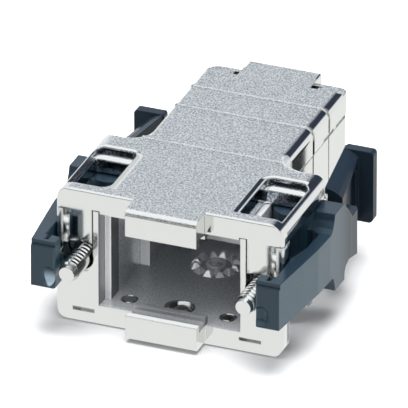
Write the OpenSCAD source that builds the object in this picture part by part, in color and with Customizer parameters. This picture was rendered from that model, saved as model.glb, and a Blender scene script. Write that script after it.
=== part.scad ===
// Straight metal hood for a 9-position D-sub connector, with two rocking quick-lock levers.
// The frame: X across the connector, Y from its mating face back to the cable, Z up from the
// hood's underside. The front face is the plane Y = 0. All sizes are in millimetres.

/* [Connector] */
// Distance between the two locking pins
pin_pitch = 24.99; // [24.6:0.1:25.2]
// Width of the opening that takes the connector's body
opening_w = 20.1; // [19.6:0.1:20.3]
// Height of that opening
opening_h = 13.6; // [12.6:0.1:14]

/* [Shells] */
// Width of the hood across the levers' windows
body_w = 32.2; // [31.8:0.1:34]
// Height of the closed hood
body_h = 19.9; // [19.5:0.1:21.5]
// Depth of the wide front part
shoulder_y = 16.3; // [16:0.1:17]
// Width of the neck round the cable
neck_w = 19.8; // [19.2:0.1:20]
// Length from the front face to the rear wall
body_l = 40.7; // [40:0.1:44]
// Thickness of the lid over the levers
plate_t = 3.15; // [2.8:0.05:3.4]
// Thickness of the tub's floor
floor_t = 2.9; // [2.4:0.1:3.1]
// Thickness of the neck's walls and roof
wall_t = 1.6; // [1.2:0.1:1.8]
// Height of the parting line along the neck
part_z = 16; // [15:0.1:16.4]
// Radius of the lid's long top edges
lid_r = 2; // [1:0.1:2.4]
// Radius of the tub's bottom edges
tub_r = 2.2; // [1:0.1:2.4]
// Radius of the corners between shoulder and neck
neck_fillet = 3; // [1:0.1:3.2]
// Radius of the top edges along the neck and round the shoulder's rear, on the right
edge_r = 1.3; // [0.6:0.05:1.35]
// The same radius on the left, which the photograph shows as a much crisper edge
left_edge_r = 0.5; // [0.3:0.05:1.35]

/* [Front face] */
// Depth of the flange behind the front face
flange_d = 2.8; // [2.4:0.1:3]
// Width of the two hooks that hold the connector's flange
hook_w = 10.1; // [8:0.1:12]
// How far the hooks reach ahead of the front face
hook_reach = 3.1; // [2.6:0.1:3.4]
// Height of the lid's hook
hook_h = 4; // [3.6:0.05:4.2]
// Height of the tub's hook
low_hook_h = 3.5; // [3.2:0.05:3.8]

/* [Windows] */
// Distance from the centre line to a window's inner edge
window_in = 9.2; // [8.8:0.1:9.8]
// Front edge of the windows
window_y0 = 1.75; // [1.4:0.05:2.2]
// Rear edge of the windows
window_y1 = 12.4; // [11.8:0.1:12.8]
// Thickness of the rail outside a window
rail_t = 0.9; // [0.7:0.05:1]

/* [Levers] */
// Distance from the centre line to a lever's pivot
pivot_x = 13.1; // [13:0.05:13.4]
// Distance from the front face to the pivots
pivot_y = 12; // [11.8:0.1:12.2]
// Radius of a lever's hub
hub_r = 2.8; // [2.4:0.05:2.9]
// Lowest height of the levers
lever_z0 = 5; // [4.9:0.1:5.2]
// Thickness of a lever's outer wall
skin_t = 1.6; // [1.3:0.1:1.8]
// Width of a wing pad
wing_w = 4.3; // [3.6:0.1:4.6]
// Thickness of a wing pad
wing_t = 1.4; // [1:0.1:2.2]
// Rear face of the wing pads
wing_y = 32; // [30:0.1:34]
// How far the levers rock, in degrees
lever_swing = 4; // [3:0.5:4.5]

/* [Pins] */
// Radius of a locking pin over its teeth
lock_r = 1.42; // [1.35:0.01:1.45]
// Depth of the teeth
tooth_d = 0.32; // [0.2:0.02:0.4]
// Distance from tooth to tooth
tooth_pitch = 0.8; // [0.6:0.05:0.9]
// How far the locking pins reach ahead of the front face
lock_reach = 5.3; // [4.6:0.1:5.8]
// Radius of a pivot pin
pivot_r = 1; // [0.8:0.05:1.2]

/* [Cable clamp] */
// Radius of the cable that the clamp is made for
cable_r = 3.3; // [2.6:0.1:3.5]
// Radius of the cable entry in the rear wall
entry_r = 4.5; // [4.2:0.1:4.6]
// Radius of the clamp and shell screws
screw_r = 1; // [0.9:0.05:1.1]
// Front face of the clamp
clamp_y = 24; // [22:0.1:26]
// Length of the clamp along the cable
clamp_l = 5; // [4:0.1:6]

/* [Hidden] */
$fn = 64;

nickel = [0.80, 0.80, 0.79];
plastic = [0.10, 0.12, 0.14];
steel = [0.72, 0.72, 0.73];
rubber = [0.16, 0.16, 0.17];

// Clearances: between pieces that don't move, at the parting line, for a running pin, and for a pressed one
gap = 0.15;
seam = 0.13;
run = 0.05;
press = 0.015;
eps = 0.02;

// Heights and half widths that several pieces share
half_w = body_w / 2;
neck_half = neck_w / 2;
axis_z = body_h / 2 - 0.1;
plate_z = body_h - plate_t;
lock_x = pin_pitch / 2;
opening_half = opening_w / 2;
opening_z0 = axis_z - opening_h / 2;
hook_tip = body_h - hook_h;
low_hook_tip = opening_z0 + 1.05;
flange_slot = 2.1;

// The chamber behind the opening narrows twice
chamber_y1 = 13;
chamber_end = 19;
chamber_half = 9.2;
chamber_wall = 0.85;
throat_half = 7.9;

// Two fine beads run round the neck
bead = 0.12;
bead_l = 0.32;
bead_ys = [27.4, 33.2];
lug_drop = 0.6;
relief_y = 31;
nub_y = 34.7;
relief_h = 0.4;
tail_y = body_l - 2;
rear_wall = 1.7;
tab_half = 5.2;
tab_reach = 1.7;
skirt_y = 17;
base_half = half_w - 3.7;

// The ears round the locking pins
seam_x = opening_half + 0.8;
ear_x0 = seam_x + gap;
ear_x1 = lock_x + lock_r + 0.2;
ear_z = axis_z + 2.25;
post_x0 = half_w - 1;
cradle_r = lock_r + 0.33;

// The levers, drawn for the right-hand side
lever_z1 = plate_z - 0.25;
rail_z0 = lever_z0 + 2.4;
rail_z1 = lever_z1 - 2.4;
hook_bay_y = 3.1;
rail_x0 = half_w + 0.25;
hub_out = half_w + 2.8;
hook_x0 = lock_x + 1.7;
carrier_y0 = flange_d + 0.3;
carrier_y1 = carrier_y0 + 3.1;
carrier_x0 = opening_half + 1.05;
arm_z0 = lever_z0 + 0.6;
wing_z1 = lever_z1 - 0.5;
wing_x1 = hub_out - 1.75;
arm_angle = 8.1;
arm_front = [14.6, 19.2];
arm_l = (wing_y - 0.4 - arm_front.y) / cos(arm_angle);
wing_x0 = wing_x1 - wing_w;

// The return springs
spring_y = 20.9;
spring_z = 10.2;
spring_r = 1.1;
wire_r = 0.2;
spring_turns = 5;
stud_r = 0.7;
arm_in_x = 14.15;
wire_sides = 6;
turn_steps = 16;

// The screws
head_r = 1.85;
head_h = 1.3;
slot_w = 0.5;
boss_r = 1.75;
front_screw = [throat_half + 1.6, skirt_y - boss_r - gap];
rear_screw = [6.3, 35.3];
screw_z0 = 0.25;
screw_z1 = plate_z + 1.6;
clamp_screw_x = neck_half - wall_t - head_r - 0.55;
clamp_top = 14.4;

// General shapes

// A prism along Y from a profile drawn in X and Z
module along_y(y0, y1) {
    translate([0, y1, 0]) rotate([90, 0, 0]) linear_extrude(y1 - y0) children();
}

// A prism along X from a profile drawn in Y and Z
module along_x(x0, x1) {
    translate([x0, 0, 0]) rotate([90, 0, 90]) linear_extrude(x1 - x0) children();
}

// A rectangle whose four corners have their own radii: low left, low right, top right, top left
module corner_rect(low, high, radii) {
    corners = [low, [high.x, low.y], high, [low.x, high.y]];
    inward = [[1, 1], [-1, 1], [-1, -1], [1, -1]];
    difference() {
        translate(low) square(high - low);
        for (i = [0:3])
            if (radii[i] > 0)
                translate(corners[i]) scale(inward[i]) fillet(radii[i]);
    }
}

// What a round corner takes away, or a concave one adds
module fillet(r) {
    difference() {
        translate([-eps, -eps]) square(r + eps);
        translate([r, r]) circle(r);
    }
}

module block(low, high) {
    translate(low) cube(high - low);
}

module both_sides() {
    children();
    mirror([1, 0, 0]) children();
}

// A fillist screw that points up from its head at the origin
module screw(length, slot = slot_w) {
    difference() {
        union() {
            cylinder(r = head_r - 0.15, h = 0.15 + eps);
            translate([0, 0, 0.15]) cylinder(r = head_r, h = head_h - 0.15);
            cylinder(r = screw_r, h = length - 0.3);
            translate([0, 0, length - 0.3]) cylinder(r1 = screw_r, r2 = screw_r - 0.3, h = 0.3);
        }
        block([-head_r, -slot / 2, -1], [head_r, slot / 2, head_h * 0.45]);
        block([-slot / 2, -head_r, -1], [slot / 2, head_r, head_h * 0.45]);
    }
}

// Upper shell

// The neck's outline in X and Z
module neck_section(z0, grow) {
    x = neck_half + grow;
    corner_rect([-x, z0], [x, body_h + grow], [0, 0, edge_r, left_edge_r]);
}

module shoulder_plan(half, front_r, rear_r) {
    corner_rect([-half, 0], [half, shoulder_y], [front_r, front_r, rear_r, rear_r]);
    translate([-neck_half, shoulder_y - 1]) square([neck_w, skirt_y - shoulder_y + 4]);
    both_sides() translate([neck_half, shoulder_y]) fillet(neck_fillet);
}

module lid_plate() {
    intersection() {
        translate([0, 0, plate_z]) linear_extrude(plate_t) shoulder_plan(half_w, 0.6, 1.4);
        along_y(0, shoulder_y + neck_fillet + 1)
            corner_rect([-half_w, 0], [half_w, body_h], [0, 0, lid_r, lid_r]);
        along_x(-half_w, half_w)
            corner_rect([0, 0], [body_l, body_h], [0, 0, 0, 0.35]);
    }
    // The shoulders' rear wall hangs down a little over the levers
    both_sides() along_x(neck_half, half_w)
        polygon([[shoulder_y - 0.9, plate_z + eps], [shoulder_y, plate_z + eps], [shoulder_y, plate_z - 1]]);
}

// What rounds the lid's top edge from the neck round the shoulder, on the right-hand side
module lid_edge(r) {
    corner = [neck_half + neck_fillet, shoulder_y + neck_fillet];
    shoulder_r = 1.4;
    outer = [half_w - shoulder_r, shoulder_y - shoulder_r];
    along_y(corner.y, corner.y + 2) translate([neck_half, body_h]) scale([-1, -1]) fillet(r);
    // Round the inner corner between neck and shoulder
    intersection() {
        translate([corner.x, corner.y, 0]) rotate_extrude() translate([neck_fillet, body_h]) scale([1, -1]) fillet(r);
        block([0, 0, 0], [corner.x, corner.y, body_h + 1]);
    }
    along_x(corner.x, outer.x) translate([shoulder_y, body_h]) scale([-1, -1]) fillet(r);
    // Round the shoulder's outer corner
    intersection() {
        translate([outer.x, outer.y, 0]) rotate_extrude() translate([shoulder_r, body_h]) scale([-1, -1]) fillet(r);
        block([outer.x, outer.y, 0], [half_w + 1, shoulder_y + 1, body_h + 1]);
    }
}

// A window in the lid, with a ledge behind and outside the part that goes right through
module window(front_r) {
    translate([0, 0, body_h - 1.2]) linear_extrude(2)
        corner_rect([window_in, window_y0], [half_w - rail_t, window_y1], [front_r, 0.3, 1.3, 1]);
    linear_extrude(body_h)
        corner_rect([window_in, window_y0], [half_w - rail_t - 0.45, window_y1 - 1.3], [front_r, 0.3, 0.5, 0.5]);
}

// The ear above a locking pin, with a shallow arch, and a set-back part outside it
module lid_ear() {
    difference() {
        union() {
            block([ear_x0, 0, ear_z], [ear_x1, flange_d, plate_z + eps]);
            block([ear_x1 - eps, 0.3, ear_z + 0.9], [post_x0 - gap, flange_d, plate_z + eps]);
        }
        along_y(-1, flange_d + 1) translate([(ear_x0 + ear_x1) / 2, ear_z - 7.85]) circle(8);
    }
}

// A hook's side view, ahead of the front face, with the slot that the connector's flange slides into
module hook_profile(low, high, radii, tip, way) {
    difference() {
        corner_rect([-hook_reach, low], [1, high], radii);
        translate([0, tip]) scale([1, way])
            polygon([[-flange_slot, -1], [-flange_slot, 1.1], [-1.1, 0.9], [0, 0.6], [0, -1]]);
    }
}

module screw_boss(at, z0, z1) {
    translate([at.x, at.y, z0]) cylinder(r = boss_r, h = z1 - z0);
}

// The rear tongue that closes the cable entry from above
module entry_tongue() {
    difference() {
        union() {
            block([-tab_half, body_l - rear_wall, axis_z + gap / 2], [tab_half, body_l + tab_reach, part_z + 1]);
            along_y(tail_y - 1, body_l + tab_reach)
                corner_rect([-tab_half, part_z], [tab_half, body_h], [0, 0, 0.3, 0.3]);
        }
        along_y(body_l - 3, body_l + 3) translate([0, axis_z]) circle(entry_r);
    }
}

module upper_shell() {
    color(nickel)
    difference() {
        union() {
            lid_plate();
            both_sides() lid_ear();
            along_x(-hook_w / 2, hook_w / 2) hook_profile(hook_tip, body_h, [0.2, 0, 0, 0.75], hook_tip, 1);
            // A fine bead across the lid where the neck begins
            block([-neck_half - 0.6, skirt_y - bead_l / 2, body_h - 1], [neck_half - 0.6, skirt_y + bead_l / 2, body_h + bead]);
            difference() {
                union() {
                    along_y(skirt_y, body_l) neck_section(part_z, 0);
                    for (y = bead_ys) along_y(y - bead_l / 2, y + bead_l / 2) neck_section(part_z, bead);
                }
                // The hollow of the neck
                block([-neck_half + wall_t, skirt_y - 1, part_z - 1],
                    [neck_half - wall_t, body_l - rear_wall, body_h - wall_t - 0.4]);
                // The lower lugs at the tail's two corners
                both_sides()
                    block([tab_half, tail_y, body_h - lug_drop], [neck_half + 1, body_l + 1, body_h + 1]);
                both_sides() translate([neck_half, body_l, 0]) mirror([1, 1, 0])
                    linear_extrude(body_h) fillet(1.5);
            }
            both_sides() screw_boss(rear_screw, part_z, body_h - wall_t);
            entry_tongue();
        }
        window(0.4);
        mirror([1, 0, 0]) window(1.5);
        lid_edge(edge_r);
        mirror([1, 0, 0]) lid_edge(left_edge_r);
        // Small square recesses in the shoulders' sides
        both_sides() block([half_w - 0.45, 13, plate_z + 0.55], [half_w + 1, 14.9, plate_z + 1.65]);
        // Notches that take the tops of the tub's two inner posts
        both_sides() block([opening_half - gap, -1, plate_z - eps], [ear_x0, 2.6, plate_z + 0.4]);
        // Square gaps beside the rear tab
        both_sides() block([tab_half, tail_y - 0.6, part_z + 1], [tab_half + 1.1, tail_y + 1.4, body_h + 1]);
        // Long shallow reliefs above the parting line of the neck, with a nub left between them
        both_sides() {
            block([neck_half - 0.35, relief_y, part_z - 1], [neck_half + 1, nub_y, part_z + relief_h]);
            block([neck_half - 0.35, nub_y + 0.9, part_z - 1], [neck_half + 1, body_l + 1, part_z + relief_h]);
        }
        // Round pockets at the rear corners of the neck's top
        both_sides() translate([neck_half - 1, tail_y, body_h - 1.1]) cylinder(r = 0.5, h = 2);
        // Tapped holes for the shell screws
        both_sides() for (at = [front_screw, rear_screw])
            translate([at.x, at.y, part_z - 1]) cylinder(r = screw_r - press, h = screw_z1 + 1.3 - part_z);
    }
}

// Lower shell

module tub_base() {
    intersection() {
        union() {
            linear_extrude(floor_t) shoulder_plan(base_half, 0, 1.2);
            linear_extrude(floor_t) corner_rect([-half_w, 0], [half_w, flange_d], [0.5, 0.5, 0.5, 0.5]);
        }
        union() {
            along_y(0, flange_d)
                corner_rect([-half_w, 0], [half_w, body_h], [tub_r, tub_r, 0, 0]);
            along_y(flange_d - eps, body_l)
                corner_rect([-base_half, 0], [base_half, body_h], [0.8, 0.8, 0, 0]);
        }
        front_round();
    }
}

// The rounding of the tub's lower front edge
module front_round() {
    along_x(-half_w, half_w) corner_rect([0, 0], [body_l, body_h], [0.8, 0, 0, 0]);
}

// The flange below a locking pin, with the slot that the pin swings in
module tub_ear() {
    difference() {
        intersection() {
            block([opening_half, 0, 0], [half_w, flange_d, plate_z - seam]);
            linear_extrude(body_h) corner_rect([0, 0], [half_w, flange_d], [0, 0.5, 0.5, 0]);
            along_y(0, flange_d) corner_rect([0, 0], [half_w, body_h], [0, tub_r, 0, 0]);
            front_round();
        }
        along_y(-1, flange_d + 1) {
            translate([lock_x + 1.1, axis_z]) circle(cradle_r + 0.1);
            translate([lock_x, axis_z - cradle_r]) square([1.1, cradle_r + 1]);
            translate([seam_x, axis_z]) square([post_x0 - seam_x, body_h]);
        }
    }
}

// The inner post beside the opening, and the cradle that the locking pin swings in
module tub_post() {
    difference() {
        union() {
            tub_ear();
            block([opening_half, 0, floor_t - eps], [seam_x, flange_d - 0.3, plate_z + 0.3]);
        }
        along_y(-1, flange_d + 1) translate([lock_x, axis_z]) circle(cradle_r);
    }
}

module chamber_walls() {
    outer = chamber_half + chamber_wall;
    both_sides() {
        block([chamber_half, flange_d - 0.4, floor_t - eps], [outer, chamber_y1, plate_z - seam]);
        block([throat_half, chamber_y1 - eps, floor_t - eps], [outer, chamber_end, part_z - seam]);
        block([throat_half, chamber_y1 - eps, floor_t - eps], [outer, skirt_y - gap, plate_z - seam]);
    }
}

module tub_neck() {
    difference() {
        block([-neck_half + 0.12, skirt_y, 0], [neck_half - 0.12, body_l, part_z - seam]);
        block([-neck_half + wall_t, skirt_y - 1, floor_t], [neck_half - wall_t, body_l - rear_wall, body_h]);
        both_sides() translate([neck_half - 0.12, body_l, -1]) mirror([1, 1, 0])
            linear_extrude(body_h) fillet(1.5);
        both_sides() along_y(skirt_y - 1, body_l + 1) translate([neck_half - 0.12, 0])
            mirror([1, 0]) fillet(0.8);
        // The step that shows the parting line along the neck
        both_sides() block([neck_half - 0.35, skirt_y - 1, part_z - seam - 0.15], [neck_half + 1, body_l + 1, body_h]);
        // Fine grooves down the sides, below the lid's beads
        both_sides() for (y = bead_ys)
            block([neck_half - 0.3, y - bead_l / 2, -1], [neck_half + 1, y + bead_l / 2, body_h]);
    }
}

module lower_shell() {
    pilot = pivot_r - press;
    color(nickel)
    difference() {
        union() {
            tub_base();
            both_sides() tub_post();
            chamber_walls();
            tub_neck();
            along_x(-hook_w / 2, hook_w / 2)
                hook_profile(low_hook_tip - low_hook_h, low_hook_tip, [0.4, 0, 0, 0.1], low_hook_tip, -1);
            // The sill across the opening
            block([-opening_half, 0, floor_t - eps], [opening_half, 0.8, opening_z0]);
            // The lugs that carry the pivot pins
            both_sides() {
                translate([pivot_x, pivot_y, floor_t - 0.5]) cylinder(r = hub_r - 0.3, h = 2.4 - gap - 0.15);
                block([chamber_half, pivot_y - 2, floor_t - 0.5], [pivot_x, pivot_y + 2, lever_z0 - 0.2]);
            }
            both_sides() screw_boss(front_screw, 0.5, plate_z - seam);
            both_sides() screw_boss(rear_screw, 0.5, part_z - seam);
            // The collar below the cable entry
            block([-tab_half, body_l - 1, axis_z - entry_r - 1.2], [tab_half, body_l + tab_reach, axis_z]);
            // Ribs that locate the cable clamp
            for (y = [clamp_y - 1 - gap, clamp_y + clamp_l + gap])
                block([-neck_half + 1, y, floor_t - eps], [neck_half - 1, y + 1, floor_t + 1.2]);
            // Studs that the return springs sit on
            both_sides() along_x(neck_half - 1, neck_half + 0.8) translate([spring_y, spring_z]) circle(stud_r);
        }
        // The cable entry
        along_y(body_l - 3, body_l + 3) translate([0, axis_z]) circle(entry_r);
        block([-tab_half - gap, body_l - rear_wall - 1, axis_z], [tab_half + gap, body_l + 3, body_h]);
        // Pressed pivot pins, and the shell screws' heads and shanks
        both_sides() translate([pivot_x, pivot_y, 1]) cylinder(r = pilot, h = 10);
        both_sides() for (at = [front_screw, rear_screw]) translate([at.x, at.y, -1]) {
            cylinder(r = screw_r + 0.1, h = body_h);
            cylinder(r = head_r + gap, h = head_h + 1.3);
        }
        // Slots low in the front face, and marks left by the casting tool in the floor
        block([opening_half - 0.2, -1, floor_t - 1.1], [opening_half + 2.95, 1.5, floor_t - 0.6]);
        block([-opening_half - 3.7, -1, floor_t - 1.1], [-opening_half - 0.6, 1.5, floor_t - 0.55]);
        translate([0.3, 3.8, floor_t - 0.25]) difference() {
            cylinder(r = 1.7, h = 1);
            translate([0, 0, -2.1]) sphere(2.45);
        }
        both_sides() translate([7, 3.4, floor_t - 0.12]) difference() {
            cylinder(r = 1.1, h = 1);
            translate([0, 0, -eps]) cylinder(r = 0.85, h = 2);
        }
    }
}

// Levers

// The outer wall, seen from above
module skin_plan() {
    polygon([[hub_out - 1.35, -lock_reach], [hub_out - 0.6, 1.5], [hub_out - 0.15, 6], [hub_out, 10],
        [hub_out, 17.5], [hub_out - 0.2, 20.6], [hub_out - 0.6, 21.4],
        [hub_out - skin_t - 0.4, 21.4], [hub_out - skin_t, 17], [hub_out - skin_t, 10],
        [hub_out - skin_t - 0.15, 6], [rail_x0, flange_d], [rail_x0, -lock_reach]]);
}

// The outer wall, seen from the side
module skin_side() {
    polygon([[-lock_reach, rail_z0], [10.8, rail_z0], [11.3, rail_z0 - 0.4], [11.6, rail_z0 - 1.2], [11.9, lever_z0],
        [15.3, lever_z0], [15.4, lever_z0 + 1.1], [15.9, lever_z0 + 1.8], [17.1, lever_z0 + 2.2],
        [21.4, lever_z0 + 1], [21.4, lever_z1 - 3.65], [18.3, lever_z1 - 3.5], [17, lever_z1 - 1.95],
        [15, lever_z1], [11.8, lever_z1], [11.5, lever_z1 - 0.95], [11, lever_z1 - 1.9],
        [10.5, rail_z1], [-lock_reach, rail_z1]]);
}

// The straight arm that leans inwards to the wing, with its top rounded off outwards
module arm() {
    translate([arm_front.x, arm_front.y, 0]) rotate([0, 0, arm_angle]) difference() {
        union() {
            along_y(0, arm_l)
                polygon([[0, arm_z0], [2.4, arm_z0], [2.4, wing_z1 - 1.35], [1.8, wing_z1 - 0.8],
                    [1, wing_z1 - 0.3], [0, wing_z1]]);
            // The foot that joins the arm to the outer wall
            block([1.5, 0, arm_z0 + 1], [3.4, 2, rail_z1 - 2]);
        }
        // The outer side tapers towards the wing
        linear_extrude(body_h) polygon([[2.4, 2.2], [2.4, 2], [4, 2], [4, 11.2], [2, 11.2]]);
        // A shallow seat for the fingertip
        along_x(1.45, 5) corner_rect([5.6, lever_z0 + 1.5], [9.6, wing_z1 - 1.7], [1, 1, 0.9, 0.7]);
    }
}

// The wing that the fingers hold
module wing() {
    along_y(wing_y - wing_t, wing_y)
        corner_rect([wing_x0, lever_z0 + 0.4], [wing_x1, wing_z1], [0.3, 0.7, 0.5, 0.3]);
}

// The front hook: a guard outside the locking pin, open behind its front plate
module lever_hook() {
    back = lock_reach - hook_bay_y;
    difference() {
        intersection() {
            linear_extrude(body_h)
                corner_rect([hook_x0, -lock_reach], [hub_out - 1.35 + 0.5, -gap], [0.35, 0.9, 0, 0]);
            linear_extrude(body_h) polygon([[0, -lock_reach], [hub_out - 1.35, -lock_reach],
                [hub_out - 0.85, 0], [0, 0]]);
            block([0, -lock_reach, rail_z0], [hub_out, 1, rail_z1]);
        }
        // The bay behind the plate, and the small ribs at its rear
        difference() {
            block([0, -hook_bay_y, rail_z0 + 1.6], [rail_x0 + 0.15, 1, body_h]);
            block([hook_x0, -back - 0.5, 0], [hook_x0 + 1.5, -back + 0.1, axis_z + 1.5]);
        }
        block([15.4, -4.4, rail_z1 - 0.9], [16, -hook_bay_y + 1, rail_z1 + 1]);
        // Room for the rim of the connector's flange
        block([0, 0.05 - flange_slot, 0], [half_w + 0.1, 1, body_h]);
        // A dish in the front face
        translate([lock_x + 2.5, -lock_reach - 0.5, axis_z - 1.2]) {
            cylinder(r = 1.2, h = 0.8);
            sphere(1.2);
            translate([0, 0, 0.8]) sphere(1.2);
        }
    }
}

module lever_solid() {
    difference() {
        union() {
            intersection() {
                linear_extrude(body_h) skin_plan();
                along_x(0, hub_out + 1) skin_side();
            }
            lever_hook();
            // The block behind the flange that carries the locking pin
            block([carrier_x0, carrier_y0, axis_z - 2.1], [hub_out - skin_t, carrier_y1, axis_z + 2.2]);
            // The hub and the block that joins it to the outer wall
            translate([pivot_x, pivot_y, lever_z0]) cylinder(r = hub_r, h = lever_z1 - lever_z0);
            intersection() {
                difference() {
                    block([pivot_x, pivot_y - 2.4, lever_z0], [hub_out - skin_t + eps, 16.2, lever_z1]);
                    block([pivot_x + hub_r - 0.4, 0, 0], [hub_out, 13, rail_z0]);
                    // A hollow in its front
                    translate([pivot_x + 2.9, pivot_y - 2.9, rail_z0 + 0.4]) cylinder(r = 1.5, h = body_h);
                }
                along_x(0, hub_out) skin_side();
            }
            arm();
            wing();
            // The stud that the return spring sits on
            along_x(arm_in_x - 0.9, arm_in_x + 0.8) translate([spring_y, spring_z]) circle(stud_r);
        }
        translate([pivot_x, pivot_y, lever_z0 - 1]) cylinder(r = pivot_r + run, h = 10.9);
        along_y(carrier_y0 - 1, carrier_y1 + 1) translate([lock_x, axis_z]) circle(lock_r - press);
        // A step along the top of the front face
        block([0, -lock_reach - 1, rail_z1 - 0.7], [hub_out + 1, 0.4 - lock_reach, rail_z1 + 1]);
    }
}

// Pins

// A locking pin, seen from the side, with its blunt tip at the origin
module lock_profile() {
    polygon([[0, 0], [lock_r - 0.37, 0], [lock_r, 1], [lock_r, lock_reach + carrier_y1],
        [0, lock_reach + carrier_y1]]);
}

// A pin with teeth on its outer half only, and a smooth inner half that slips past the nut's thread
module lock_pin_solid() {
    translate([lock_x, -lock_reach, axis_z]) rotate([-90, 0, 0]) difference() {
        rotate_extrude() lock_profile();
        intersection() {
            union() for (i = [0:5]) translate([0, 0, 0.8 + i * tooth_pitch]) rotate_extrude()
                polygon([[lock_r - tooth_d, -0.08], [lock_r + 0.2, -0.42], [lock_r + 0.2, 0.42], [lock_r - tooth_d, 0.08]]);
            block([-0.2, -lock_r - 1, -1], [lock_r + 1, lock_r + 1, 7]);
        }
    }
}

module pivot_pin_solid() {
    translate([pivot_x, pivot_y, 1.2]) cylinder(r = pivot_r, h = lever_z0 + 8.4);
}

// Springs

// A ring of points round the wire at a place along the coil
function coil_ring(a, x) = [for (j = [0:wire_sides - 1])
    let (b = j * 360 / wire_sides, r = spring_r + wire_r * cos(b))
    [x + wire_r * sin(b), r * cos(a), r * sin(a)]];

module spring_solid() {
    x0 = neck_half + gap + wire_r;
    x1 = arm_in_x - gap - wire_r;
    rings = spring_turns * turn_steps;
    points = [for (i = [0:rings]) each coil_ring(i * 360 / turn_steps, x0 + (x1 - x0) * i / rings)];
    sides = [for (i = [0:rings - 1], j = [0:wire_sides - 1])
        let (a = i * wire_sides + j, b = i * wire_sides + (j + 1) % wire_sides)
        each [[a, b, b + wire_sides], [a, b + wire_sides, a + wire_sides]]];
    first = [[for (j = [wire_sides - 1:-1:0]) j]];
    last = [[for (j = [0:wire_sides - 1]) rings * wire_sides + j]];
    translate([0, spring_y, spring_z]) polyhedron(points, concat(sides, first, last));
}

// Cable clamp and bush

module clamp_solid(z0, z1, bore_r) {
    half = neck_half - wall_t - gap - 0.1;
    grip_r = cable_r - 0.1;
    difference() {
        block([-half, clamp_y, z0], [half, clamp_y + clamp_l, z1]);
        along_y(clamp_y - 1, clamp_y + clamp_l + 1) translate([0, axis_z]) circle(grip_r);
        // Grooves that leave gripping teeth in the saddle
        for (i = [0:2])
            along_y(clamp_y + 0.8 + i * 1.3, clamp_y + 1.5 + i * 1.3)
                translate([0, axis_z]) circle(grip_r + 0.4);
        both_sides() translate([clamp_screw_x, clamp_y + clamp_l / 2, 0]) cylinder(r = bore_r, h = body_h);
    }
}

module bush_solid(upper) {
    z0 = upper ? axis_z + gap / 2 : 0;
    difference() {
        union() {
            along_y(body_l - rear_wall - 0.1, body_l + tab_reach - 0.2)
                translate([0, axis_z]) circle(entry_r - run);
            along_y(body_l - rear_wall - 1.5, body_l - rear_wall - 0.1)
                translate([0, axis_z]) circle(entry_r + 0.7);
        }
        along_y(body_l - 5, body_l + 5) translate([0, axis_z]) circle(cable_r);
        if (upper)
            block([-10, body_l - 5, 0], [10, body_l + 5, axis_z + gap / 2]);
        else
            block([-10, body_l - 5, axis_z - gap / 2], [10, body_l + 5, body_h]);
    }
}

// The nodes

module left_lever() color(plastic) mirror([1, 0, 0]) lever_solid();
module right_lever() color(plastic) lever_solid();
module left_lock_pin() color(nickel) mirror([1, 0, 0]) lock_pin_solid();
module right_lock_pin() color(nickel) lock_pin_solid();
module left_pivot_pin() color(steel) mirror([1, 0, 0]) pivot_pin_solid();
module right_pivot_pin() color(steel) pivot_pin_solid();
module left_spring() color(steel) mirror([1, 0, 0]) spring_solid();
module right_spring() color(steel) spring_solid();
module lower_clamp() color(steel) clamp_solid(floor_t, axis_z - 0.3, screw_r - press);
module upper_clamp() color(steel) clamp_solid(axis_z + 0.3, clamp_top, screw_r + 0.1);
module lower_bush() color(rubber) bush_solid(false);
module upper_bush() color(rubber) bush_solid(true);

module clamp_screw(side)
    color(steel) translate([side * clamp_screw_x, clamp_y + clamp_l / 2, clamp_top + head_h])
        rotate([180, 0, 0]) screw(clamp_top + head_h - floor_t - 3.4);

module shell_screw(at, side)
    color(steel) translate([side * at.x, at.y, screw_z0]) screw(screw_z1 - screw_z0);

// The shared frame starts in the middle of the mating face
module framed() translate([0, 0, -axis_z]) children();

framed() upper_shell();
framed() lower_shell();
framed() left_lever();
framed() right_lever();
framed() left_lock_pin();
framed() right_lock_pin();
framed() left_pivot_pin();
framed() right_pivot_pin();
framed() left_spring();
framed() right_spring();
framed() lower_clamp();
framed() upper_clamp();
framed() clamp_screw(-1);  // left_clamp_screw
framed() clamp_screw(1);  // right_clamp_screw
framed() lower_bush();
framed() upper_bush();
framed() shell_screw(front_screw, -1);  // front_left_shell_screw
framed() shell_screw(front_screw, 1);  // front_right_shell_screw
framed() shell_screw(rear_screw, -1);  // rear_left_shell_screw
framed() shell_screw(rear_screw, 1);  // rear_right_shell_screw
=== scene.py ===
"""A straight metal hood for a 9-position D-sub connector, with two quick-lock levers.
It lies on a white table, seen from its open mating end and from the right."""
import math

import bmesh
import bpy
from mathutils import Matrix, Vector


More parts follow.
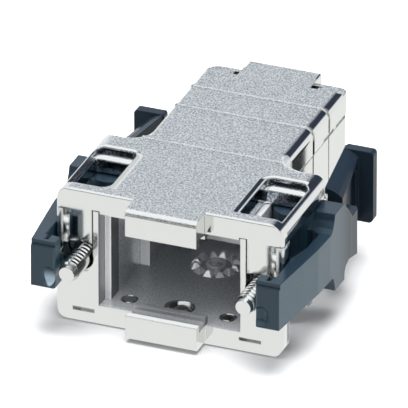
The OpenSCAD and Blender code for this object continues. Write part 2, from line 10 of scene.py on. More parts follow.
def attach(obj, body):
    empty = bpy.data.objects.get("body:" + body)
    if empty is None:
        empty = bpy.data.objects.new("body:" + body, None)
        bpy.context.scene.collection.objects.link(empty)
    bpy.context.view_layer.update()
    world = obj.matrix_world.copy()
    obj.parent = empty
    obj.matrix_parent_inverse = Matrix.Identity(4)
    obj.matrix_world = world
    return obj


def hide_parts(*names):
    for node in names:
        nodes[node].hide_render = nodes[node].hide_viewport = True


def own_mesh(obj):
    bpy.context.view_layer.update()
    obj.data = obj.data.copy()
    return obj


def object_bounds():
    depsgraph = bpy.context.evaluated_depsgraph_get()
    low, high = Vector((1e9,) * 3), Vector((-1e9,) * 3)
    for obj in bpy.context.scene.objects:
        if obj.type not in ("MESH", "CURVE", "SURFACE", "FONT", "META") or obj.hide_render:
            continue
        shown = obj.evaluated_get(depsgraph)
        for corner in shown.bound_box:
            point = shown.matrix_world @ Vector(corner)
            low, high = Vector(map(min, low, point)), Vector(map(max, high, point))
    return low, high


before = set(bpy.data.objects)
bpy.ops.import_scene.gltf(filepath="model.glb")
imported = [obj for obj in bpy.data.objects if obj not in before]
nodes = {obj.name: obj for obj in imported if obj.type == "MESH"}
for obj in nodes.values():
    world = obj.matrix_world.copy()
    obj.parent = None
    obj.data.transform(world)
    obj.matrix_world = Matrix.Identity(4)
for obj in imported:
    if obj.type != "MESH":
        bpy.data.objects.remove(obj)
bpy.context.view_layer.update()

# Camera
# The photograph looks down on the hood's open end from its right, through a lens so long
# that nothing converges.
MM = 0.001
LENS, SENSOR = 1200, 36
PICTURE_WIDTH = 54.21 * MM
AZIMUTH, ELEVATION = math.radians(21.42), math.radians(28.16)
camera_data = bpy.data.cameras.new("camera")
camera_data.lens = LENS
camera_data.sensor_width = SENSOR
camera_data.clip_start = 0.1
camera_data.clip_end = 20
camera = bpy.data.objects.new("camera", camera_data)
bpy.context.collection.objects.link(camera)
bpy.context.scene.camera = camera

back = Vector((math.sin(AZIMUTH) * math.cos(ELEVATION), -math.cos(AZIMUTH) * math.cos(ELEVATION),
               math.sin(ELEVATION)))
right = Vector((math.cos(AZIMUTH), math.sin(AZIMUTH), 0))
up = back.cross(right)
aim = Vector((0, 17, 0.65)) * MM - right * 1.62 * MM + up * 1.13 * MM
camera.location = aim + back * (PICTURE_WIDTH * LENS / SENSOR)
camera.rotation_euler = back.to_track_quat("Z", "Y").to_euler()

# White sheet
# The hood lies on a white sheet that runs out of the picture. The camera sees it over-exposed
# with a soft contact shadow, and polished metal sees it plain white.
SHEET_HALF = 0.9
sheet = bpy.data.materials.new("white_sheet")
sheet.use_nodes = True
n, l = sheet.node_tree.nodes, sheet.node_tree.links
paper = n["Principled BSDF"]
paper.inputs["Base Color"].default_value = (0.6, 0.6, 0.6, 1)
paper.inputs["Roughness"].default_value = 0.9
paper.inputs["Specular IOR Level"].default_value = 0
exposed = n.new("ShaderNodeBsdfDiffuse")
exposed.inputs["Color"].default_value = (0.50, 0.50, 0.505, 1)
white = n.new("ShaderNodeEmission")
white.inputs["Strength"].default_value = 1
rays = n.new("ShaderNodeLightPath")


def swapped_for(ray, usual, shown):
    swap = n.new("ShaderNodeMixShader")
    l.new(rays.outputs[ray], swap.inputs["Fac"])
    l.new(usual, swap.inputs[1])
    l.new(shown, swap.inputs[2])
    return swap.outputs["Shader"]


seen = swapped_for("Is Camera Ray", paper.outputs["BSDF"], exposed.outputs["BSDF"])
mirrored = swapped_for("Is Glossy Ray", seen, white.outputs["Emission"])
l.new(mirrored, n["Material Output"].inputs["Surface"])


def new_piece(name, mesh, material):
    data = bpy.data.meshes.new(name)
    mesh.to_mesh(data)
    mesh.free()
    data.materials.append(material)
    piece = bpy.data.objects.new(name, data)
    bpy.context.collection.objects.link(piece)
    return piece


table_mesh = bmesh.new()
bmesh.ops.create_grid(table_mesh, x_segments=1, y_segments=1, size=SHEET_HALF)
bmesh.ops.translate(table_mesh, verts=table_mesh.verts, vec=(0, 0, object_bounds()[0].z))
table = new_piece("table", table_mesh, sheet)

# Room and light
# A pale room whose white sweep rises behind the sheet. The polished metal mirrors its dark parts:
# a black card above the sweep to the right, a dark gap higher up, and a dark floor in front.
# The camera itself sees plain white past the sheet, and two soft boxes give the light.
world = bpy.data.worlds.new("room")
bpy.context.scene.world = world
world.use_nodes = True
room = world.node_tree


def feed(tree, socket, value):
    if isinstance(value, (int, float, tuple)):
        socket.default_value = value
    elif value is not None:
        tree.links.new(value, socket)


def split(tree, vector):
    parts = tree.nodes.new("ShaderNodeSeparateXYZ")
    tree.links.new(vector, parts.inputs["Vector"])
    return parts.outputs


def add_math(tree, operation, one, two=None, three=None):
    step = tree.nodes.new("ShaderNodeMath")
    step.operation = operation
    for socket, value in zip(step.inputs, (one, two, three)):
        feed(tree, socket, value)
    return step.outputs["Value"]


def add_range(tree, value, start, end, low=0, high=1, smooth=False):
    span = tree.nodes.new("ShaderNodeMapRange")
    span.interpolation_type = "SMOOTHSTEP" if smooth else "LINEAR"
    limits = {"From Min": start, "From Max": end, "To Min": low, "To Max": high}
    for socket, limit in limits.items():
        span.inputs[socket].default_value = limit
    tree.links.new(value, span.inputs["Value"])
    return span.outputs["Result"]


def add_mix(tree, share, one, two):
    mix = tree.nodes.new("ShaderNodeMix")
    mix.data_type = "RGBA"
    tree.links.new(share, mix.inputs["Factor"])
    feed(tree, mix.inputs["A"], one)
    feed(tree, mix.inputs["B"], two)
    return mix.outputs["Result"]


def both(tree, first, *others):
    for mask in others:
        first = add_math(tree, "MULTIPLY", first, mask)
    return first


def wall_tones(levels):
    tones = room.nodes.new("ShaderNodeValToRGB")
    stops = tones.color_ramp.elements
    for at, _ in levels[1:-1]:
        stops.new(at)
    for stop, (_, level) in zip(stops, levels):
        stop.color = (level, level * 1.02, level * 1.05, 1)
    room.links.new(axes["Z"], tones.inputs["Fac"])
    return tones.outputs["Color"]


axes = split(room, room.nodes.new("ShaderNodeTexCoord").outputs["Generated"])
front_wall = wall_tones(((0, 0.05), (0.10, 0.08), (0.30, 0.45), (0.44, 1.1), (1, 1.15)))
rear_wall = wall_tones(((0, 1.0), (0.30, 0.98), (0.52, 0.92), (0.58, 0.30), (0.67, 0.30),
                        (0.76, 1.15), (1, 1.15)))
walls = add_mix(room, add_range(room, axes["Y"], -0.15, 0.2, smooth=True), front_wall, rear_wall)
card = both(room, add_range(room, axes["X"], -0.29, -0.2, smooth=True),
            add_range(room, axes["Y"], 0.5, 0.62, smooth=True),
            add_range(room, axes["Z"], 0.17, 0.27, smooth=True),
            add_range(room, axes["Z"], 0.75, 0.62, smooth=True))
mirrored_room = add_mix(room, card, walls, (0.04, 0.05, 0.08, 1))
camera_ray = room.nodes.new("ShaderNodeLightPath").outputs["Is Camera Ray"]
room.links.new(add_mix(room, camera_ray, mirrored_room, (1, 1, 1, 1)),
               room.nodes["Background"].inputs["Color"])


def soft_box(name, place, size, power):
    light = bpy.data.lights.new(name, "AREA")
    light.shape = "SQUARE"
    light.size = size
    light.energy = power
    lamp = bpy.data.objects.new(name, light)
    lamp.location = place
    towards_hood = Vector(place) - Vector((0, 0.015, 0))
    lamp.rotation_euler = towards_hood.to_track_quat("Z", "Y").to_euler()
    lamp.visible_glossy = False
    bpy.context.collection.objects.link(lamp)


soft_box("top_box", (0.02, 0.0, 0.45), 0.34, 6)
soft_box("front_box", (-0.1, -0.3, 0.4), 0.3, 0.4)

# Grain and soft edges
# All the finishes share a fine grain, edges that tumbling has rounded a little, and a shallow
# relief in metres where a piece has one. Each finish sets its own sizes and strengths.


def new_group(name, **sizes):
    group = bpy.data.node_groups.new(name, "ShaderNodeTree")
    for socket, size in sizes.items():
        entry = group.interface.new_socket(socket, in_out="INPUT", socket_type="NodeSocketFloat")
        entry.default_value = size
    return group


def put_out(group, **results):
    for socket in results:
        kind = "NodeSocketVector" if socket == "Normal" else "NodeSocketFloat"
        group.interface.new_socket(socket, in_out="OUTPUT", socket_type=kind)
    exits = group.nodes.new("NodeGroupOutput").inputs
    for socket, result in results.items():
        group.links.new(result, exits[socket])


def add_group(tree, group, **values):
    placed = tree.nodes.new("ShaderNodeGroup")
    placed.node_tree = group
    for socket, value in values.items():
        feed(tree, placed.inputs[socket], value)
    return placed.outputs


grain = new_group("cast_grain", Scale=2500, Depth=0.02, Edge=0.1 * MM, Relief=0)
given = grain.nodes.new("NodeGroupInput").outputs
noise = grain.nodes.new("ShaderNodeTexNoise")
noise.inputs["Detail"].default_value = 2
grain.links.new(grain.nodes.new("ShaderNodeTexCoord").outputs["Object"], noise.inputs["Vector"])
grain.links.new(given["Scale"], noise.inputs["Scale"])
soft_edge = grain.nodes.new("ShaderNodeBevel")
soft_edge.samples = 6
grain.links.new(given["Edge"], soft_edge.inputs["Radius"])
relief = grain.nodes.new("ShaderNodeBump")
relief.inputs["Distance"].default_value = 1
relief.inputs["Strength"].default_value = 1
grain.links.new(given["Relief"], relief.inputs["Height"])
grain.links.new(soft_edge.outputs["Normal"], relief.inputs["Normal"])
pits = grain.nodes.new("ShaderNodeBump")
pits.inputs["Distance"].default_value = 0.05 * MM
grain.links.new(given["Depth"], pits.inputs["Strength"])
grain.links.new(noise.outputs["Fac"], pits.inputs["Height"])
grain.links.new(relief.outputs["Normal"], pits.inputs["Normal"])
put_out(grain, Normal=pits.outputs["Normal"], Speckle=noise.outputs["Fac"])

# Lid top
# The lid's flat top is blasted to an even grain: Mask is 1 on faces that look straight up and lie
# as high as the lid, and 0 elsewhere.
lid_top = new_group("lid_top")
place = lid_top.nodes.new("ShaderNodeTexCoord").outputs
high = add_math(lid_top, "GREATER_THAN", split(lid_top, place["Object"])["Z"], 9.2 * MM)
level = add_range(lid_top, split(lid_top, place["Normal"])["Z"], 0.93, 0.995)
put_out(lid_top, Mask=both(lid_top, high, level))

# Inner walls and floor
# The bay for the connector and the throat behind it keep the dull skin of the casting, with
# bright round marks in the floor where the pins of the casting tool pushed the shell out.


def add_vector(tree, operation, one, two=None):
    step = tree.nodes.new("ShaderNodeVectorMath")
    step.operation = operation
    for socket, value in zip(step.inputs, (one, two)):
        feed(tree, socket, value)
    return step.outputs["Value" if operation == "LENGTH" else "Vector"]


def either(tree, first, *others):
    for mask in others:
        first = add_math(tree, "MAXIMUM", first, mask)
    return first


def millimetres(*lengths):
    return tuple(length * MM for length in lengths)


def inside_box(tree, spot, middle, half):
    offset = add_vector(tree, "SUBTRACT", spot, millimetres(*middle))
    share = split(tree, add_vector(tree, "ABSOLUTE", add_vector(
        tree, "DIVIDE", offset, millimetres(*half))))
    return add_math(tree, "LESS_THAN", either(tree, share["X"], share["Y"], share["Z"]), 1)


def inside_circle(tree, spot, middle, radius):
    offset = add_vector(tree, "SUBTRACT", spot, millimetres(*middle))
    return add_math(tree, "LESS_THAN", add_vector(tree, "LENGTH", offset), radius * MM)


BAY_HALF, BAY_MIDDLE, HOOK_HALF = 10.15, -0.2, 5.2
cavity = new_group("cavity")
place = cavity.nodes.new("ShaderNodeTexCoord").outputs
where, facing = split(cavity, place["Object"]), split(cavity, place["Normal"])
bay = inside_box(cavity, place["Object"], (0, 7.05, BAY_MIDDLE), (BAY_HALF, 7, 7.3))
throat = inside_box(cavity, place["Object"], (0, 27, BAY_MIDDLE), (9.4, 13, 7.3))
slot = inside_box(cavity, place["Object"], (0, -1, -6.1), (HOOK_HALF, 1.08, 0.8))
# the inner faces that look out of the opening, painted pale as painted light from the opening, and
# the draft of the rear ones
front = both(cavity, either(cavity, bay, throat), add_math(cavity, "LESS_THAN", facing["Y"], -0.5))
drafted = both(cavity, front, add_math(cavity, "GREATER_THAN", where["Y"], 8 * MM),
               add_math(cavity, "MULTIPLY", where["Z"], -0.58))
lip = inside_box(cavity, place["Object"], (0, -2.6, -5.55), (HOOK_HALF, 0.55, 0.3))
# the side walls by the opening, and the slot behind the lower hook, both painted darker as painted
# shade
beside = both(
    cavity, inside_box(cavity, place["Object"], (0, 2.5, BAY_MIDDLE), (BAY_HALF, 2.6, 7.2)),
    add_math(cavity, "GREATER_THAN", add_math(cavity, "ABSOLUTE", facing["X"]), 0.5))
behind_lip = inside_box(cavity, place["Object"], (0, -0.5, -6.05), (5.15, 1.55, 0.78))
# the round marks in the floor: one in each front corner and one behind the lower hook
folded = add_vector(cavity, "ABSOLUTE", place["Object"])
flat = add_vector(cavity, "MULTIPLY", folded, (1, 1, 0))
near_marks = either(cavity, inside_circle(cavity, flat, (7, 3.4, 0), 1.2),
                    inside_circle(cavity, flat, (0.3, 3.8, 0), 1.8))
low = add_math(cavity, "COMPARE", split(cavity, folded)["Z"], 7.2 * MM, 0.6 * MM)
put_out(cavity, Mask=either(cavity, slot, bay, throat), Front=front,
        Marks=both(cavity, near_marks, low),
        Side=either(cavity, both(cavity, behind_lip, 0.6), beside),
        Relief=add_math(cavity, "ADD", drafted, both(cavity, lip, where["Y"])))

# Window pockets
# Each window opens into a pocket in the lid and a shaft below it: Mask is 1 round and in the
# pocket, and Wall is 1 on the shaft and the pocket's upright walls, whose grain is
# painted dark as shade in the recess.
WINDOW_X = 12.2
window_pocket = new_group("window_pocket")
place = window_pocket.nodes.new("ShaderNodeTexCoord").outputs
folded = add_vector(window_pocket, "ABSOLUTE", place["Object"])
pocket = inside_box(window_pocket, folded, (WINDOW_X, 7.1, 8.5), (3.25, 5.6, 2))
shaft = inside_box(window_pocket, folded, (12.4, 7.1, 4.3), (3.5, 5.6, 2.3))
upright = add_math(window_pocket, "COMPARE", split(window_pocket, place["Normal"])["Z"], 0, 0.3)
put_out(window_pocket, Mask=pocket, Wall=either(window_pocket, shaft, both(
    window_pocket, pocket, upright)))

# Window rims
# They are rolled over on three sides, with a sloping ledge inside the rear one: Relief is the
# height that this takes off, and Mask is 1 on the polished band that the roll leaves.
ROLL_WIDTH, CORNER_R, ROLL_CURVE = 0.9 * MM, 1.2 * MM, 0.9 / MM
window_rim = new_group("window_rim")
place = window_rim.nodes.new("ShaderNodeTexCoord").outputs
folded = add_vector(window_rim, "ABSOLUTE", place["Object"])
where = split(window_rim, folded)
from_middle = add_math(window_rim, "ABSOLUTE", add_math(
    window_rim, "SUBTRACT", where["X"], WINDOW_X * MM))
corner = window_rim.nodes.new("ShaderNodeCombineXYZ")
window_rim.links.new(add_math(window_rim, "MAXIMUM", 0, add_math(
    window_rim, "SUBTRACT", from_middle, 1.8 * MM)), corner.inputs["X"])
window_rim.links.new(add_math(window_rim, "MAXIMUM", 0, add_math(
    window_rim, "SUBTRACT", where["Y"], 11.2 * MM)), corner.inputs["Y"])
away = add_math(window_rim, "SUBTRACT", add_vector(
    window_rim, "LENGTH", corner.outputs["Vector"]), CORNER_R)
band = both(window_rim, add_math(window_rim, "GREATER_THAN", where["Z"], 9.95 * MM),
            add_math(window_rim, "GREATER_THAN", where["Y"], 1.75 * MM),
            add_math(window_rim, "LESS_THAN", away, ROLL_WIDTH))
drop = add_math(window_rim, "SUBTRACT", ROLL_WIDTH, away)
rolled = both(window_rim, drop, drop, -ROLL_CURVE, band)
ledge = inside_box(window_rim, folded, (WINDOW_X, 11.75, 8.85), (3.1, 0.7, 0.25))
put_out(window_rim, Relief=add_math(window_rim, "ADD", rolled, both(
    window_rim, where["Y"], 0.6, ledge)), Mask=band)

# Ears, shoulder sides and neck fillets
# The ears and posts beside the locking pins have well rounded front edges. The shoulders' sides
# behind the levers are painted dark below a bright upper border, a painted reflection of the black
# levers, and the fillets between the neck and the shoulders are a little duller. Each Mask is 1 on
# its own faces.
rolled_ear = new_group("rolled_ear")
place = rolled_ear.nodes.new("ShaderNodeTexCoord").outputs
folded = add_vector(rolled_ear, "ABSOLUTE", place["Object"])
put_out(rolled_ear, Mask=inside_box(rolled_ear, folded, (13.6, 1, 4.3), (2.62, 2, 2.6)))

lever_reflection_zone = new_group("lever_reflection_zone")
place = lever_reflection_zone.nodes.new("ShaderNodeTexCoord").outputs
folded = add_vector(lever_reflection_zone, "ABSOLUTE", place["Object"])
facing = split(lever_reflection_zone, add_vector(lever_reflection_zone, "ABSOLUTE", place["Normal"]))
put_out(lever_reflection_zone, Mask=both(
    lever_reflection_zone, inside_box(lever_reflection_zone, folded, (16.5, 7.5, 6.2), (1.5, 6, 2.3)), 0.85,
    add_math(lever_reflection_zone, "GREATER_THAN", facing["X"], 0.9)))

neck_flare = new_group("neck_flare")
place = neck_flare.nodes.new("ShaderNodeTexCoord").outputs
folded = add_vector(neck_flare, "ABSOLUTE", place["Object"])
put_out(neck_flare, Mask=both(
    neck_flare, inside_box(neck_flare, folded, (11, 19, 7.2), (2.4, 5, 3.2)),
    add_math(neck_flare, "GREATER_THAN", split(neck_flare, place["Normal"])["Y"], 0.02)))

# Lid hook
# The rounded upper edge of the lid's hook has rough plating: Mask is 1 on it, and Line is 1
# along its lower border, which is painted with dark specks.
hook_roll = new_group("hook_roll")
place = hook_roll.nodes.new("ShaderNodeTexCoord").outputs
roll = inside_box(hook_roll, place["Object"], (0, -2.6, 9.8), (HOOK_HALF, 0.6, 0.6))
border = inside_box(hook_roll, place["Object"], (0, -3, 9.33), (5, 0.3, 0.16))
put_out(hook_roll, Mask=roll, Line=border)

# Shells
# Two halves of die-cast zinc, plated with nickel. The lid's top is blasted to an even grain,
# and the sides and front are polished and mirror the white room.


def new_finish(name, metallic, roughness):
    finish = bpy.data.materials.new(name)
    finish.use_nodes = True
    surface = finish.node_tree.nodes["Principled BSDF"].inputs
    surface["Metallic"].default_value = metallic
    surface["Roughness"].default_value = roughness
    return finish, finish.node_tree, surface


def two_tones(tree, share, start, dark, end, light):
    tones = tree.nodes.new("ShaderNodeValToRGB")
    first, last = tones.color_ramp.elements
    first.position, first.color = start, (*dark, 1)
    last.position, last.color = end, (*light, 1)
    tree.links.new(share, tones.inputs["Fac"])
    return tones.outputs["Color"]


nickel, skin, metal = new_finish("plated_shell", 1, 0.1)
inside = add_group(skin, cavity)
rims = add_group(skin, window_rim)
pocket = add_group(skin, window_pocket)
hook = add_group(skin, hook_roll)
ear = add_group(skin, rolled_ear)["Mask"]
painted_lever_reflection = add_group(skin, lever_reflection_zone)["Mask"]
flare = add_group(skin, neck_flare)["Mask"]
dull = add_math(skin, "SUBTRACT", inside["Mask"], inside["Marks"])
frosted = add_math(skin, "MAXIMUM", 0, add_math(
    skin, "SUBTRACT", add_group(skin, lid_top)["Mask"], rims["Mask"]))
satin = add_math(skin, "MULTIPLY_ADD", dull, 0.13, add_range(skin, frosted, 0, 1, 0.10, 0.38))
feed(skin, metal["Roughness"], add_math(skin, "MULTIPLY_ADD", flare, 0.3, satin))
feed(skin, metal["Metallic"], add_math(
    skin, "MULTIPLY_ADD", flare, -0.12, add_range(skin, dull, 0, 1, 1, 0.45)))
pitting = add_math(skin, "MULTIPLY_ADD", hook["Mask"], 0.8, add_range(
    skin, frosted, 0, 1, 0.03, 0.75))
rounding = add_math(skin, "MULTIPLY_ADD", ear, 0.6 * MM, add_range(
    skin, pocket["Mask"], 0, 1, 0.18 * MM, 0.4 * MM))
cast = add_group(skin, grain, Scale=4300, Depth=pitting, Edge=rounding,
                 Relief=add_math(skin, "ADD", rims["Relief"], inside["Relief"]))
feed(skin, metal["Normal"], cast["Normal"])

speckle = two_tones(skin, cast["Speckle"], 0.36, (0.37, 0.41, 0.45), 0.62, (0.97, 1, 1))
shaded_wall_speckle = two_tones(skin, cast["Speckle"], 0.35, (0.08, 0.09, 0.10), 0.65, (0.62, 0.66, 0.70))
flecks = two_tones(skin, cast["Speckle"], 0.35, (0.42, 0.44, 0.46), 0.65, (0.64, 0.66, 0.68))
torn = skin.nodes.new("ShaderNodeTexNoise")
torn.inputs["Scale"].default_value = 40000
skin.links.new(skin.nodes.new("ShaderNodeTexCoord").outputs["Object"], torn.inputs["Vector"])
# the lid hook's lower border is painted with dark specks
dark_border_specks = both(skin, add_math(skin, "GREATER_THAN", torn.outputs["Fac"], 0.47), hook["Line"])
colour = add_mix(skin, frosted, (0.745, 0.76, 0.74, 1), speckle)
# painted shade: the window shafts and pocket walls are painted dark with a speckle
colour = add_mix(skin, pocket["Wall"], colour, shaded_wall_speckle)
colour = add_mix(skin, dull, colour, flecks)
# painted light: the inner faces that look out of the opening are painted pale
colour = add_mix(skin, inside["Front"], colour, (0.95, 0.96, 0.95, 1))
# painted reflection: the shoulders' sides behind the levers are painted dark like the black levers
# they face
colour = add_mix(skin, painted_lever_reflection, colour, (0.10, 0.13, 0.16, 1))
# painted shade: the side walls by the opening and the slot behind the lower hook are painted dark
colour = add_mix(skin, inside["Side"], colour, (0.16, 0.17, 0.175, 1))
feed(skin, metal["Base Color"], add_mix(skin, dark_border_specks, colour, (0.10, 0.11, 0.12, 1)))
for name in ("upper_shell", "lower_shell"):
    nodes[name].material_slots[0].material = nickel

# Levers
# Glass-filled black nylon with a satin face, moulded in one piece with the hub and the wing.
# A fine mould line slants across each outer side. The left hook's front end has a painted
# highlight, a pale oval where its round scoop catches the light; the sides are painted a lighter
# blue as painted sheen; and the arms and wings are painted duller and darker than the hooks as
# painted shade.
nylon, skin, plastic = new_finish("lever_nylon", 0, 0.27)
plastic["Specular Tint"].default_value = (0.72, 0.92, 1, 1)
place = skin.nodes.new("ShaderNodeTexCoord").outputs
where, facing = split(skin, place["Object"]), split(skin, place["Normal"])
LINE_START, LINE_END, LINE_WIDTH = -5.3 * MM, 21.3 * MM, 0.12 * MM
line = skin.nodes.new("ShaderNodeFloatCurve")
course = line.mapping.curves[0].points
course[0].location = (0, 0.61)
course[1].location = (1, 0.255)
course.new(0.576, 0.485)
line.mapping.update()
skin.links.new(add_range(skin, where["Y"], LINE_START, LINE_END), line.inputs["Value"])
line_height = add_range(skin, line.outputs["Value"], 0, 1, -4 * MM, 6 * MM)
mould_line = both(skin, add_math(skin, "COMPARE", where["Z"], line_height, LINE_WIDTH / 2),
                  add_math(skin, "COMPARE", facing["Y"], 0, 0.7))
from_scoop = add_vector(
    skin, "MULTIPLY", add_vector(skin, "SUBTRACT", place["Object"], millimetres(-15, 0, -0.5)),
    (1 / (0.8 * MM), 0, 1 / (1.7 * MM)))
# painted highlight: a pale oval in the left hook's front end, where its scoop catches the light
scoop_highlight = both(skin, add_range(skin, add_vector(skin, "LENGTH", from_scoop), 1.05, 0.95),
             add_range(skin, where["Z"], 0.1 * MM, -1.5 * MM, smooth=True),
             add_math(skin, "LESS_THAN", where["Y"], -3.6 * MM))
# painted sheen: the faces that look left and right are painted a lighter blue
colour = add_mix(skin, add_math(skin, "ABSOLUTE", facing["X"]), (0.007, 0.014, 0.022, 1),
                 (0.017, 0.042, 0.058, 1))
colour = add_mix(skin, scoop_highlight, colour, (0.26, 0.32, 0.38, 1))
colour = add_mix(skin, mould_line, colour, (0.035, 0.050, 0.065, 1))
# painted shade: the arms and wings are painted darker towards the rear and reflect less
colour = add_mix(skin, add_range(skin, where["Y"], 11 * MM, 20 * MM, smooth=True), colour,
                 (0.008, 0.013, 0.020, 1))
feed(skin, plastic["Base Color"], colour)
painted_wing_shade = add_range(skin, where["Y"], 13 * MM, 19 * MM, smooth=True)
feed(skin, plastic["Specular IOR Level"], add_range(skin, painted_wing_shade, 0, 1, 0.6, 0.15))
moulded = add_group(skin, grain, Scale=5000, Depth=0.1, Edge=0.15 * MM)
feed(skin, plastic["Normal"], moulded["Normal"])
for name in ("left_lever", "right_lever"):
    nodes[name].material_slots[0].material = nylon

# Pins
# The locking pins are turned steel with a bright nickel plating. The teeth on their outer half
# run on a little over the upper side as shallow notches.
TOOTH_PITCH, FIRST_TOOTH = 0.8 * MM, -4.5 * MM
pin, skin, bright = new_finish("plated_pin", 1, 0.16)
bright["Base Color"].default_value = (0.76, 0.77, 0.75, 1)
place = skin.nodes.new("ShaderNodeTexCoord").outputs
where, facing = split(skin, place["Object"]), split(skin, place["Normal"])
inward = both(skin, add_math(skin, "SIGN", where["X"]), facing["X"])
wave = add_math(skin, "PINGPONG", add_math(skin, "ADD", where["Y"], -FIRST_TOOTH), TOOTH_PITCH / 2)
notches = both(skin, add_math(skin, "COMPARE", inward, -0.32, 0.38),
               add_math(skin, "GREATER_THAN", facing["Z"], 0), wave)
turned = add_group(skin, grain, Scale=4000, Depth=0.05, Edge=0.08 * MM, Relief=notches)
feed(skin, bright["Normal"], turned["Normal"])
for name in ("left_lock_pin", "right_lock_pin"):
    nodes[name].material_slots[0].material = pin

# Steel
# The pivot pins, screws, springs and the two cable saddles are plain zinc-plated steel.
zinc, skin, plated = new_finish("zinc_plated_steel", 1, 0.3)
plated["Base Color"].default_value = (0.62, 0.64, 0.66, 1)
worked = add_group(skin, grain, Scale=3000, Depth=0.2, Edge=0.08 * MM)
feed(skin, plated["Normal"], worked["Normal"])
for name in nodes:
    if name.endswith(("screw", "clamp", "pivot_pin", "spring")):
        nodes[name].material_slots[0].material = zinc

# Bush
# A split bush of soft black rubber fills the cable entry, held between the two shells.
rubber, skin, soft = new_finish("bush_rubber", 0, 0.6)
soft["Base Color"].default_value = (0.018, 0.018, 0.019, 1)
matt = add_group(skin, grain, Scale=3000, Depth=0.3, Edge=0.12 * MM)
feed(skin, soft["Normal"], matt["Normal"])
for name in ("lower_bush", "upper_bush"):
    nodes[name].material_slots[0].material = rubber

# Return springs
# Two small coils of round wire between the neck and the lever arms. On the real hood each is
# squeezed against the neck as its lever rocks; here each is a fixed coil on the hood.
x0, x1 = 10.05 * MM, 14 * MM
WIRE_R, COIL_R, TURNS, STEPS = 0.2 * MM, 1.1 * MM, 5, 32
for side in (-1, 1):
    name = "right_spring" if side > 0 else "left_spring"
    spring_mesh = bmesh.new()
    start = Vector((side * (x0 + WIRE_R), 20.9 * MM + COIL_R, 0.35 * MM))
    wire = bmesh.ops.create_circle(spring_mesh, radius=WIRE_R, segments=12, cap_ends=True,
                                   matrix=Matrix.Translation(start))["verts"]
    bmesh.ops.spin(spring_mesh, geom=list({face for vert in wire for face in vert.link_faces}),
                   cent=(0, 20.9 * MM, 0.35 * MM), axis=(1, 0, 0), angle=2 * math.pi * TURNS,
                   steps=TURNS * STEPS, dvec=(side * (x1 - x0 - 2 * WIRE_R) / (TURNS * STEPS), 0, 0))
    bmesh.ops.recalc_face_normals(spring_mesh, faces=spring_mesh.faces)
    for face in spring_mesh.faces:
        face.smooth = True
    spring = new_piece(name + "_coil", spring_mesh, zinc)
    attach(spring, "hood")
    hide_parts(name)
    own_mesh(spring)

# Posts
# An upright post with round corners stands on each side of the locking pins' arches and closes
# the gap between the lid's ear and the tub's outer post.
POST_SIZE, POST_ROUND = Vector((1.5, 1.4, 3.9)) * MM, 0.6 * MM
for side in (-1, 1):
    name = "right_post" if side > 0 else "left_post"
    post_mesh = bmesh.new()
    bmesh.ops.create_cube(post_mesh, size=1, matrix=Matrix.Diagonal((*POST_SIZE, 1)))
    upright = [edge for edge in post_mesh.edges
               if abs(edge.verts[0].co.z - edge.verts[1].co.z) > POST_SIZE.z / 2]
    bmesh.ops.bevel(post_mesh, geom=upright, offset=POST_ROUND, segments=5, profile=0.5,
                    affect="EDGES", material=-1)
    bmesh.ops.translate(post_mesh, verts=post_mesh.verts, vec=millimetres(side * 14.85, 0.75, 3.85))
    for face in post_mesh.faces:
        face.smooth = abs(face.normal.z) < 0.5
    post = new_piece(name, post_mesh, nickel)
    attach(post, "hood")

# Casting dial
# A round dial that the casting tool leaves in the inner floor: two low rings as its hub, and
# twelve tapered lumps round them, every other one taller.
DIAL_CENTRE = Vector((0.3, 16.3, -6.95)) * MM
LUMP_COUNT, LUMP_CIRCLE, LUMP_SINK = 12, 2.75 * MM, 0.05 * MM
dial_mesh = bmesh.new()


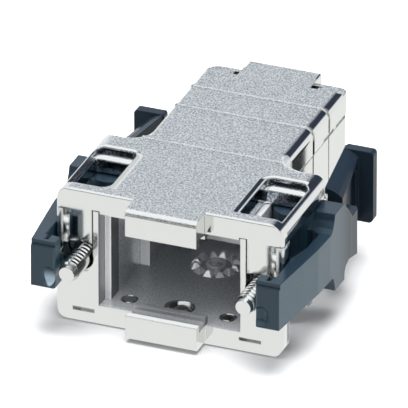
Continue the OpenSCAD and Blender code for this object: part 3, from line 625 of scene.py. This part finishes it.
def add_ring(middle, half, height):
    made = bmesh.ops.create_grid(dial_mesh, x_segments=1, y_segments=1, size=1)["verts"]
    stand = Matrix.Translation(DIAL_CENTRE + Vector((middle, 0, height / 2)))
    turn_up = Matrix.Rotation(math.pi / 2, 4, "X")
    bmesh.ops.transform(dial_mesh, verts=made,
                        matrix=stand @ turn_up @ Matrix.Diagonal((half, height / 2, 1, 1)))
    rim = [vert for vert in made if vert.co.z > DIAL_CENTRE.z + height / 2]
    bmesh.ops.bevel(dial_mesh, geom=rim, offset=half * 0.6, segments=3, profile=0.5,
                    affect="VERTICES", material=-1)
    section = [face for face in dial_mesh.faces
               if all(abs(vert.co.y - DIAL_CENTRE.y) < 1e-7 for vert in face.verts)
               and abs(face.calc_center_median().x - DIAL_CENTRE.x - middle) < half]
    bmesh.ops.spin(dial_mesh, geom=section, cent=DIAL_CENTRE, axis=(0, 0, 1), angle=2 * math.pi,
                   steps=48, use_merge=True)
    bmesh.ops.delete(dial_mesh, geom=[face for face in section if face.is_valid],
                     context="FACES_ONLY")


add_ring(1.15 * MM, 0.25 * MM, 0.5 * MM)
add_ring(0.35 * MM, 0.2 * MM, 0.4 * MM)
for i in range(LUMP_COUNT):
    tall = (0.85 if i % 2 else 0.7) * MM
    made = bmesh.ops.create_cube(dial_mesh, size=1)["verts"]
    bmesh.ops.scale(dial_mesh, verts=[vert for vert in made if vert.co.z > 0], vec=(0.35, 0.35, 1))
    rise = Matrix.Translation(DIAL_CENTRE + Vector((0, 0, tall / 2 - LUMP_SINK)))
    turn = Matrix.Rotation(2 * math.pi * i / LUMP_COUNT, 4, "Z")
    bmesh.ops.transform(dial_mesh, verts=made,
                        matrix=rise @ turn @ Matrix.Translation((LUMP_CIRCLE, 0, 0)) @
                        Matrix.Diagonal((1.5 * MM, 1.3 * MM, tall, 1)))
    bmesh.ops.bevel(dial_mesh, geom=list({edge for vert in made for edge in vert.link_edges}),
                    offset=0.08 * MM, segments=2, profile=0.5, affect="EDGES", material=-1)
bmesh.ops.recalc_face_normals(dial_mesh, faces=dial_mesh.faces)
# painted light: the dial's plating is made whiter and half diffuse, standing in for its bright
# highlights
bare, skin, shiny = new_finish("bright_cast_mark", 0.5, 0.12)
shiny["Base Color"].default_value = (0.95, 0.95, 0.94, 1)
struck = add_group(skin, grain, Scale=1800, Depth=1.5, Edge=0.05 * MM)
feed(skin, shiny["Normal"], struck["Normal"])
dial = new_piece("casting_dial", dial_mesh, bare)
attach(dial, "hood")

bpy.context.scene.view_settings.view_transform = "Standard"
